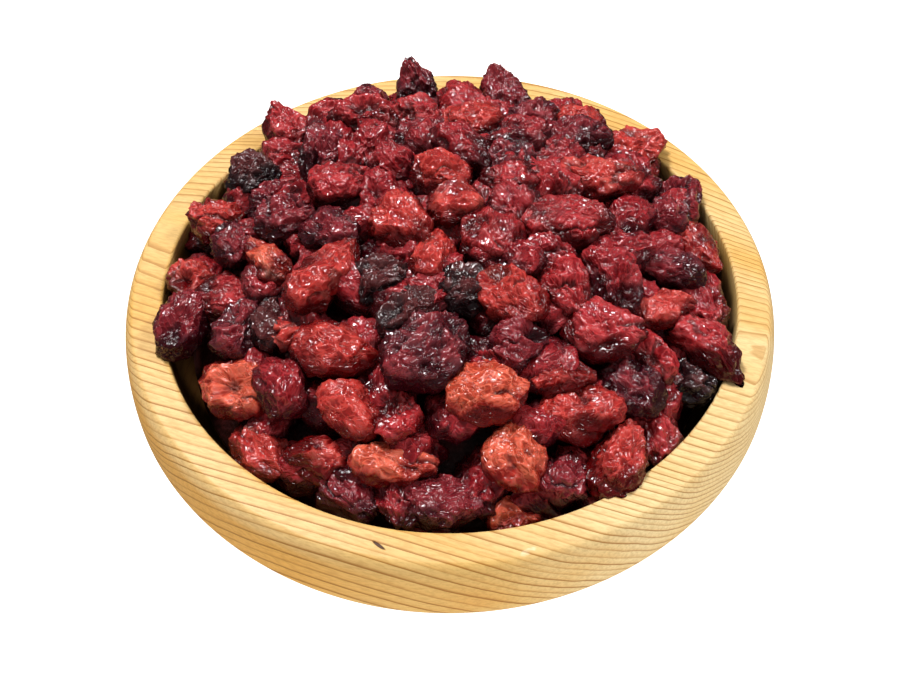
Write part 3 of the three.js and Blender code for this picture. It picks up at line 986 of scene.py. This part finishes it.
@dataclass(frozen=True)
class FruitShaper:
    """Shapes all fruit of one tone at once with a Geometry Nodes tree."""

    lump_height: float = 4.0
    facet_depth: float = 1.5
    fold_depth: float = 0.9
    wrinkle_height: float = 0.5
    crease_depth: float = 0.8
    pit_depth: float = 3.2
    spread: float = 300.0  # how far apart in the noise the skins of two fruit may be taken

    def berry(self, detail: int, finer: tuple[float, ...]) -> bpy.types.Object:
        """A unit ball, with more faces where it is seen.

        Args:
            detail: how often the ball is divided.
            finer: for each of these heights in turn, the faces above it are divided once more.

        Returns:
            The ball, outside the scene.
        """
        mesh = bpy.data.meshes.new("berry")
        shape = bmesh.new()
        bmesh.ops.create_icosphere(shape, subdivisions=detail, radius=1.0)
        for height in finer:
            above = {e for f in shape.faces if f.calc_center_median().z > height for e in f.edges}
            bmesh.ops.subdivide_edges(shape, edges=list(above), cuts=1, use_grid_fill=True)
            for point in shape.verts:
                point.co.normalize()
            bmesh.ops.triangulate(shape, faces=shape.faces)
        shape.to_mesh(mesh)
        shape.free()
        return bpy.data.objects.new("berry", mesh)

    def tree(self) -> bpy.types.NodeTree:
        """Make the tree that puts a ball at every point and turns it into a dried cherry.

        Returns:
            The tree.
        """
        tree = bpy.data.node_groups.new("Dried cherries", "GeometryNodeTree")
        sockets = (
            ("Geometry", "NodeSocketGeometry", None),
            ("Ball", "NodeSocketObject", None),
            ("Skin", "NodeSocketMaterial", None),
            ("Lump height", "NodeSocketFloat", self.lump_height),
            ("Facet depth", "NodeSocketFloat", self.facet_depth),
            ("Fold depth", "NodeSocketFloat", self.fold_depth),
            ("Wrinkle height", "NodeSocketFloat", self.wrinkle_height),
            ("Crease depth", "NodeSocketFloat", self.crease_depth),
            ("Pit depth", "NodeSocketFloat", self.pit_depth),
        )
        for name, kind, value in sockets:
            socket = tree.interface.new_socket(name=name, in_out="INPUT", socket_type=kind)
            if value is not None:
                socket.default_value = value
        tree.interface.new_socket(name="Geometry", in_out="OUTPUT", socket_type="NodeSocketGeometry")
        nodes = Nodes(tree)
        given = nodes.add("NodeGroupInput")

        def stored(name: str, kind: str = "FLOAT") -> Field:
            """An attribute of the points."""
            return nodes.out(nodes.add("GeometryNodeInputNamedAttribute", {"data_type": kind}, {"Name": name}))

        def store(geometry: Any, name: str, value: Field, kind: str = "FLOAT") -> bpy.types.NodeSocket:
            """Keep a value on the mesh.

            Args:
                geometry: the mesh.
                name: the name that the value gets.
                value: the value at each point.
                kind: its data type.

            Returns:
                The mesh with the value on it.
            """
            settings = {"data_type": kind, "domain": "POINT"}
            inputs = {"Geometry": geometry, "Name": name, "Value": value}
            return nodes.add("GeometryNodeStoreNamedAttribute", settings, inputs).outputs[0]

        ball = nodes.add("GeometryNodeObjectInfo", None, {"Object": given.outputs["Ball"]})
        here = nodes.out(nodes.add("GeometryNodeInputPosition"))
        unit_ball = store(ball.outputs["Geometry"], "unit", here, "FLOAT_VECTOR")
        placed = nodes.add(
            "GeometryNodeInstanceOnPoints", None, {"Points": given.outputs["Geometry"], "Instance": unit_ball}
        )
        real = nodes.add("GeometryNodeRealizeInstances", None, {"Geometry": placed.outputs[0]}).outputs[0]

        # The plain form: an egg that is bent and bowed, with a tip at its slim end.
        unit = stored("unit", "FLOAT_VECTOR")
        half = stored("half", "FLOAT_VECTOR")
        away = stored("away", "FLOAT_VECTOR")
        x, y, z = nodes.parts(unit)
        long, wide, deep = nodes.parts(half)
        tip = stored("tip") * nodes.ramp(x, 0.2, 1.0)
        slim = (1.0 - x * stored("taper")) * (1.0 - tip * 0.3)
        plain = nodes.joined(
            x * long * (1.0 + tip * 0.15),
            y * wide * slim + x * x * stored("bow") * wide,
            z * deep * slim + (x * x - 0.3) * stored("bend") * deep,
        )
        straight_up = nodes.vector("NORMALIZE", unit / half)

        # The relief, from the broadest to the finest. Each fruit has it from a part of the noise of its own.
        far = unit * half + away
        warp = nodes.noise_vector(far, 0.16) - (0.5, 0.5, 0.5)
        ripple = nodes.noise_vector(far + (31.0, 7.0, 3.0), 0.42) - (0.5, 0.5, 0.5)
        lump = nodes.noise(far * (0.8, 1.0, 1.0), 0.105, 1.0, 0.4) - 0.5
        facet_edge = nodes.cell_edge(far * (0.8, 1.0, 1.0) + warp * 5.0, 0.135)
        facet = nodes.math("MINIMUM", facet_edge / 0.42, 1.0) ** 0.75
        fold_edge = nodes.cell_edge(far * (0.7, 1.0, 1.0) + warp * 4.0 + ripple * 2.2, 0.34)
        fold = nodes.math("MINIMUM", fold_edge / 0.34, 1.0) ** 0.65
        contour = nodes.noise(far * (0.7, 1.0, 1.0) + ripple * 1.8, 0.12, 1.0, 0.4) * 6.5
        stripe = 1.0 - (nodes.math("FRACT", contour) * 2.0 - 1.0).abs()
        vein = nodes.noise(far * (0.55, 1.0, 1.0) + ripple * 2.4, 0.45, 1.0, 0.4)
        vein = nodes.ramp((vein - 0.5).abs(), 0.18, 0.0)
        wrinkle = nodes.math("MAXIMUM", nodes.ramp(stripe, 0.25, 1.0), vein * 0.8)
        line = (nodes.noise(far * (0.6, 1.0, 1.0) + ripple * 2.5 + (7.0, 70.0, 1.0), 0.11, 1.0, 0.4) - 0.5).abs()
        crease = nodes.ramp(line, 0.06, 0.0) * nodes.ramp(lump, -0.1, 0.1)
        smooth = nodes.ramp(nodes.noise(far + (5.0, 9.0, 2.0), 0.2, 1.0), 0.36, 0.6, 0.35, 1.0)
        wrinkle = wrinkle * smooth * stored("wrinkled")

        # The navel: a pit with a raised lip and creases that run into it.
        navel = stored("navel", "FLOAT_VECTOR")
        nx, ny, _ = nodes.parts(navel)
        from_navel = nodes.length(unit - navel)
        around = nodes.math("ARCTAN2", y - ny, x - nx) * 3.0 + (stored("mood") + lump * 6.0) * 3.0
        spoke = nodes.math("SINE", around).abs()
        pit = nodes.ramp(from_navel, 0.62, 0.05) * stored("pit")
        spokes = nodes.ramp(from_navel, 0.08, 0.35) * nodes.ramp(from_navel, 0.95, 0.45) * stored("pit")
        lip = nodes.ramp(from_navel, 0.35, 0.62) * nodes.ramp(from_navel, 1.0, 0.62) * stored("pit")

        # All of it together, turned and put in its place.
        height = lump * given.outputs["Lump height"] - facet * given.outputs["Facet depth"]
        height = height - fold * given.outputs["Fold depth"] * stored("shrunk")
        height = height + wrinkle * given.outputs["Wrinkle height"]
        height = height - pit * given.outputs["Pit depth"] + lip * 0.8 - crease * given.outputs["Crease depth"]
        height = height - spokes * (1.0 - nodes.ramp(spoke, 0.0, 0.6)) * 0.45 + 0.9
        shaped = plain + straight_up * height
        turned = nodes.add(
            "ShaderNodeVectorRotate",
            {"rotation_type": "EULER_XYZ"},
            {"Vector": shaped, "Center": (0.0, 0.0, 0.0), "Rotation": stored("turn", "FLOAT_VECTOR")},
        )
        final = nodes.out(turned) * MM + stored("middle", "FLOAT_VECTOR")
        # How high each point lies in its fruit: the skin paints light on the upper side and shade on the underside
        # from it.
        lie = nodes.parts(nodes.out(turned))[2] / deep
        # How deep each point lies in a crease or the pit: the skin paints shade there from it.
        hollow = nodes.ramp(facet * 0.12 + fold * 0.2 + pit * 0.8 + nodes.math("POWER", crease, 2.0), 0.15, 1.1)
        shape = nodes.add("GeometryNodeSetPosition", None, {"Geometry": real, "Position": final}).outputs[0]
        shape = store(shape, "hollow", hollow)
        # The wrinkle crests: the skin paints a highlight on them.
        shape = store(shape, "crest", wrinkle)
        shape = store(shape, "lie", lie)
        shape = store(shape, "skin_place", far, "FLOAT_VECTOR")
        shape = nodes.add("GeometryNodeSetShadeSmooth", None, {0: shape}).outputs[0]
        skinned = nodes.add("GeometryNodeSetMaterial", None, {"Geometry": shape, "Material": given.outputs["Skin"]})
        nodes.add("NodeGroupOutput", None, {"Geometry": skinned.outputs[0]})
        return tree

    def navel(self, number: int) -> tuple[float, float, float]:
        """The way from a fruit's middle to its navel, up and a little to one side."""
        lie, bearing = 0.75 * chance(number, Draw.NAVEL_LIE), 2 * math.pi * chance(number, Draw.NAVEL_BEARING)
        return (math.sin(lie) * math.cos(bearing), math.sin(lie) * math.sin(bearing), math.cos(lie))

    def points(self, name: str, fruit: list[Fruit]) -> bpy.types.Object:
        """Make a point for each fruit, with all that the tree wants to know of it.

        Args:
            name: the object's name.
            fruit: the fruit.

        Returns:
            The points, outside the scene.
        """

        def draws(use: Draw) -> list[float]:
            """The same chance of every fruit."""
            return [chance(f.number, use) for f in fruit]

        away = zip(draws(Draw.AWAY_X), draws(Draw.AWAY_Y), draws(Draw.AWAY_Z))
        tips = [max(0.0, 2.2 * d - 1.2) if f.tip is None else f.tip for f, d in zip(fruit, draws(Draw.TIP))]
        pits = [
            max(0.0, min(1.0, 3.0 * d - 2.1)) if f.pit is None else f.pit for f, d in zip(fruit, draws(Draw.PIT))
        ]
        mesh = bpy.data.meshes.new(name)
        places = [(f.x * MM, f.y * MM, f.z * MM) for f in fruit]
        mesh.from_pydata(places, [], [])
        values: dict[str, tuple[str, list[Any]]] = {
            "middle": ("FLOAT_VECTOR", places),
            "half": ("FLOAT_VECTOR", [(f.long, f.wide, f.deep) for f in fruit]),
            "turn": ("FLOAT_VECTOR", [(f.roll, -f.lean, f.heading) for f in fruit]),
            "away": ("FLOAT_VECTOR", [[self.spread * d for d in place] for place in away]),
            "navel": ("FLOAT_VECTOR", [self.navel(f.number) for f in fruit]),
            "taper": ("FLOAT", [0.04 + 0.2 * d for d in draws(Draw.TAPER)]),
            "tip": ("FLOAT", tips),
            "bend": ("FLOAT", [0.7 * (d - 0.5) for d in draws(Draw.BEND)]),
            "bow": ("FLOAT", [0.7 * (d - 0.5) for d in draws(Draw.BOW)]),
            "pit": ("FLOAT", pits),
            "wrinkled": ("FLOAT", [0.5 + 0.8 * d for d in draws(Draw.WRINKLED)]),
            "mood": ("FLOAT", [2 * d - 1 for d in draws(Draw.MOOD)]),
            "shrunk": ("FLOAT", [SHRUNK[f.tone] * (0.6 + 0.8 * d) for f, d in zip(fruit, draws(Draw.SHRUNK))]),
        }
        for key, (kind, data) in values.items():
            attribute = mesh.attributes.new(key, kind, "POINT")
            flat = np.array(data, dtype=np.float32).ravel()
            attribute.data.foreach_set("vector" if kind == "FLOAT_VECTOR" else "value", flat)
        return bpy.data.objects.new(name, mesh)

    def shape(
        self, name: str, fruit: list[Fruit], ball: bpy.types.Object, skin: bpy.types.Material
    ) -> bpy.types.Object:
        """One mesh of all the given fruit.

        Args:
            name: the piece's name.
            fruit: the fruit that it holds.
            ball: the unit ball that each is shaped from.
            skin: their finish.

        Returns:
            The piece, in the scene.
        """
        seeds = self.points(name, fruit)
        bpy.context.scene.collection.objects.link(seeds)
        modifier = seeds.modifiers.new("Dried cherries", "NODES")
        modifier.node_group = self.tree()
        inputs = {s.name: s.identifier for s in modifier.node_group.interface.items_tree if s.in_out == "INPUT"}
        modifier[inputs["Ball"]] = ball
        modifier[inputs["Skin"]] = skin
        graph = bpy.context.evaluated_depsgraph_get()
        mesh = bpy.data.meshes.new_from_object(seeds.evaluated_get(graph), depsgraph=graph)
        seeds.modifiers.remove(modifier)
        mesh.name = name
        seeds.data = mesh
        return seeds


@dataclass(frozen=True)
class CherryHeap:
    """All the fruit as real pieces, by tone, over a dark core."""

    heap: Heap
    shaper: FruitShaper = FruitShaper()
    ball_detail: int = 4
    finer_above: tuple[float, ...] = (-0.3, 0.45)
    finer_above_under: tuple[float, ...] = (0.5,)
    first_at_edge: int = 300
    first_on_top: int = 320
    gap: float = 0.1  # between the fruit and the wood
    core_depth: float = 13.0  # below the heap's even surface
    core_reach: float = 60.5
    core_droop: float = 2.0  # how much deeper its edge is
    core_foot_r: float = 50.0
    core_foot_depth: float = 30.0  # below the rim
    core_sides: int = 72
    core_rings: int = 16

    def tone_of(self, fruit: Fruit) -> Tone:
        """Draw the tone of a fruit that has none of its own.

        Args:
            fruit: the fruit.

        Returns:
            Its tone.
        """
        draw = chance(fruit.number, Draw.TONE)
        for tone, share in SCATTERED_TONES:
            if draw < share:
                return tone
        return Tone.BLACK

    def all_fruit(self) -> tuple[list[Fruit], list[Fruit]]:
        """Lay all the fruit.

        Returns:
            The upper and the lower fruit.
        """
        heap = self.heap

        def rim_level(x: float, y: float) -> float:
            """The rim's height, which is the same everywhere."""
            return heap.bowl.height

        def upper_level(x: float, y: float) -> float:
            """The mean height of the scattered upper fruit."""
            return heap.top(x, y) - heap.upper.sink

        at_edge = [place.fruit(rim_level, self.first_at_edge + i) for i, place in enumerate(AT_EDGE)]
        on_top = [place.fruit(upper_level, self.first_on_top + i) for i, place in enumerate(ON_TOP)]
        upper = heap.settled(heap.upper, [*at_edge, *on_top])
        lower = heap.settled(heap.lower, [])
        for one in [*upper, *lower]:
            one.tone = one.tone if one.fixed else self.tone_of(one)
        return upper, lower

    def build(self) -> list[bpy.types.Object]:
        """Make the fruit.

        Returns:
            A piece for each tone of the upper fruit, and one for the lower fruit.
        """
        upper, lower = self.all_fruit()
        fine = self.shaper.berry(self.ball_detail, self.finer_above)
        plain = self.shaper.berry(self.ball_detail, self.finer_above_under)
        made = []
        for tone in Tone:
            kind = [f for f in upper if f.tone is tone]
            made.append(self.shaper.shape(f"{tone.value}_cherries", kind, fine, SKINS[tone].material()))
        under = replace(SKINS[Tone.GARNET], name="under_skin")
        made.append(self.shaper.shape("under_cherries", lower, plain, under.material()))
        for piece in made:
            self.keep_clear(piece)
        return made

    def keep_clear(self, piece: bpy.types.Object) -> None:
        """Press the fruit that meet the wood against it: inwards in the hollow, upwards over the rim.

        Only points are moved, so a face between two of them may still dip into the wood.

        Args:
            piece: the piece whose points are moved.
        """
        bowl = self.heap.bowl
        points = np.empty(len(piece.data.vertices) * 3, dtype=np.float32)
        piece.data.vertices.foreach_get("co", points)
        points = points.reshape(-1, 3) / MM
        out = np.hypot(points[:, 0], points[:, 1])
        wall = bowl.wall_radius(points[:, 2]) - self.gap
        over = (out > wall) & (points[:, 2] < bowl.height + self.gap)
        lift = over & (bowl.height - points[:, 2] < out - wall)
        points[lift, 2] = bowl.height + self.gap
        inward = over & ~lift
        points[inward, :2] *= (wall[inward] / out[inward])[:, None]
        piece.data.vertices.foreach_set("co", (points * MM).ravel())
        piece.data.update()

    def core(self) -> bpy.types.Object:
        """Make the dark middle of the heap, under the fruit.

        Returns:
            The core, as one closed mesh.
        """
        heap, bowl = self.heap, self.heap.bowl
        sides, rings, depth = self.core_sides, self.core_rings, self.core_depth
        points, faces = [(0.0, 0.0, (heap.top(0, 0) - depth) * MM)], []
        for k in range(1, rings + 1):
            out = self.core_reach * k / rings
            for i in range(sides):
                angle = 2 * math.pi * i / sides
                x, y = out * math.cos(angle), out * math.sin(angle)
                droop = self.core_droop * (k / rings) ** 6
                points.append((x * MM, y * MM, (heap.top(x, y) - depth - droop) * MM))
        floor = bowl.height - self.core_foot_depth
        for i in range(sides):
            angle = 2 * math.pi * i / sides
            x, y = self.core_foot_r * math.cos(angle), self.core_foot_r * math.sin(angle)
            points.append((x * MM, y * MM, floor * MM))
        points.append((0.0, 0.0, floor * MM))
        last = len(points) - 1
        for i in range(sides):
            j = (i + 1) % sides
            faces.append((0, 1 + i, 1 + j))
            for k in range(rings):
                a, b = 1 + k * sides, 1 + (k + 1) * sides
                faces.append((a + i, b + i, b + j, a + j))
            faces.append((last, last - sides + j, last - sides + i))
        core = make_object("heap_core", points, faces)
        core.data.materials.append(HeapShade().material())
        return core


# ---------- Camera, floor and light ----------


@dataclass(frozen=True)
class Lamp:
    """A soft square light that faces the bowl, in metres and watts."""

    name: str
    place: tuple[float, float, float]
    size: float
    power: float
    shine: bool  # whether it is mirrored in what it lights
    target: tuple[float, float, float] = (0.0, 0.0, 0.05)

    def hang(self) -> None:
        """Make the lamp."""
        data = bpy.data.lights.new(self.name, "AREA")
        data.size = self.size
        data.energy = self.power
        lamp = bpy.data.objects.new(self.name, data)
        lamp.location = self.place
        lamp.rotation_euler = (Vector(self.target) - Vector(self.place)).to_track_quat("-Z", "Y").to_euler()
        lamp.visible_glossy = self.shine
        bpy.context.scene.collection.objects.link(lamp)


@dataclass(frozen=True)
class Studio:
    """A pale floor, soft lights, and a camera that looks down into the bowl."""

    bowl: TurnedBowl
    elevation: float = 51.76  # degrees above the horizon
    distance: float = 3.990  # in inner rim radii
    aim: float = -0.26  # how far in front of the axis the camera aims, in inner rim radii
    roll: float = -0.0124  # radians
    lens: float = 47.24
    sensor: float = 36.0
    near: float = 0.01  # metres
    floor_reach: float = 3.0  # metres
    sky: float = 0.1
    lamps: tuple[Lamp, ...] = (
        Lamp("window", (-0.25, 0.38, 0.95), 0.2, 10.2, True),
        Lamp("right_window", (0.6, 0.15, 0.8), 0.15, 3.5, True),
        Lamp("ceiling", (0.0, -0.1, 1.1), 1.4, 3.4, False),
        Lamp("front", (0.3, -1.0, 0.12), 0.8, 5.6, False),
    )

    def camera(self) -> None:
        """Make the camera."""
        radius = self.bowl.rim_inner_r * MM
        target = Vector((0.0, self.aim * radius, self.bowl.height * MM))
        rise = math.radians(self.elevation)
        back = Vector((0.0, -math.cos(rise), math.sin(rise)))
        data = bpy.data.cameras.new("camera")
        data.lens = self.lens
        data.sensor_width = self.sensor
        data.clip_start = self.near
        camera = bpy.data.objects.new("camera", data)
        camera.location = target + back * self.distance * radius
        facing = (-back).to_track_quat("-Z", "Y").to_matrix()
        camera.rotation_euler = (facing @ Matrix.Rotation(self.roll, 3, "Z")).to_euler()
        bpy.context.scene.collection.objects.link(camera)
        bpy.context.scene.camera = camera

    def floor(self) -> None:
        """Make the floor. It isn't mirrored, as it would lay a haze on dark fruit."""
        far = self.floor_reach
        corners = [(-far, -far, 0), (far, -far, 0), (far, far, 0), (-far, far, 0)]
        floor = make_object("floor", corners, [(0, 1, 2, 3)])
        floor.data.materials.append(PalePaper().material())
        floor.visible_glossy = False

    def light(self) -> None:
        """Make the lights and the sky."""
        for lamp in self.lamps:
            lamp.hang()
        world = bpy.data.worlds.new("sky")
        world.use_nodes = True
        background = world.node_tree.nodes["Background"]
        background.inputs["Color"].default_value = (1.0, 1.0, 1.0, 1.0)
        background.inputs["Strength"].default_value = self.sky
        bpy.context.scene.world = world
        bpy.context.scene.view_settings.view_transform = "Standard"


# ---------- The whole ----------


def dress(piece: bpy.types.Object, node: str) -> None:
    """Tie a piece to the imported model.

    Args:
        piece: the finished piece.
        node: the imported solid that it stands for.
    """
    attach(piece, "root")
    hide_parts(node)
    LOG.info("%s: %d faces, for %s", piece.name, len(piece.data.polygons), node)


def main() -> None:
    """Build the bowl, the heap and the studio."""
    logging.basicConfig(level=logging.INFO, format="%(message)s")
    bowl = TurnedBowl()
    dress(bowl.build(), "bowl")
    cherries = CherryHeap(Heap(bowl))
    dress(cherries.core(), "cherry_heap")
    for piece in cherries.build():
        dress(piece, "cherry_heap")
    studio = Studio(bowl)
    studio.camera()
    studio.floor()
    studio.light()


if __name__ == "__main__":
    main()
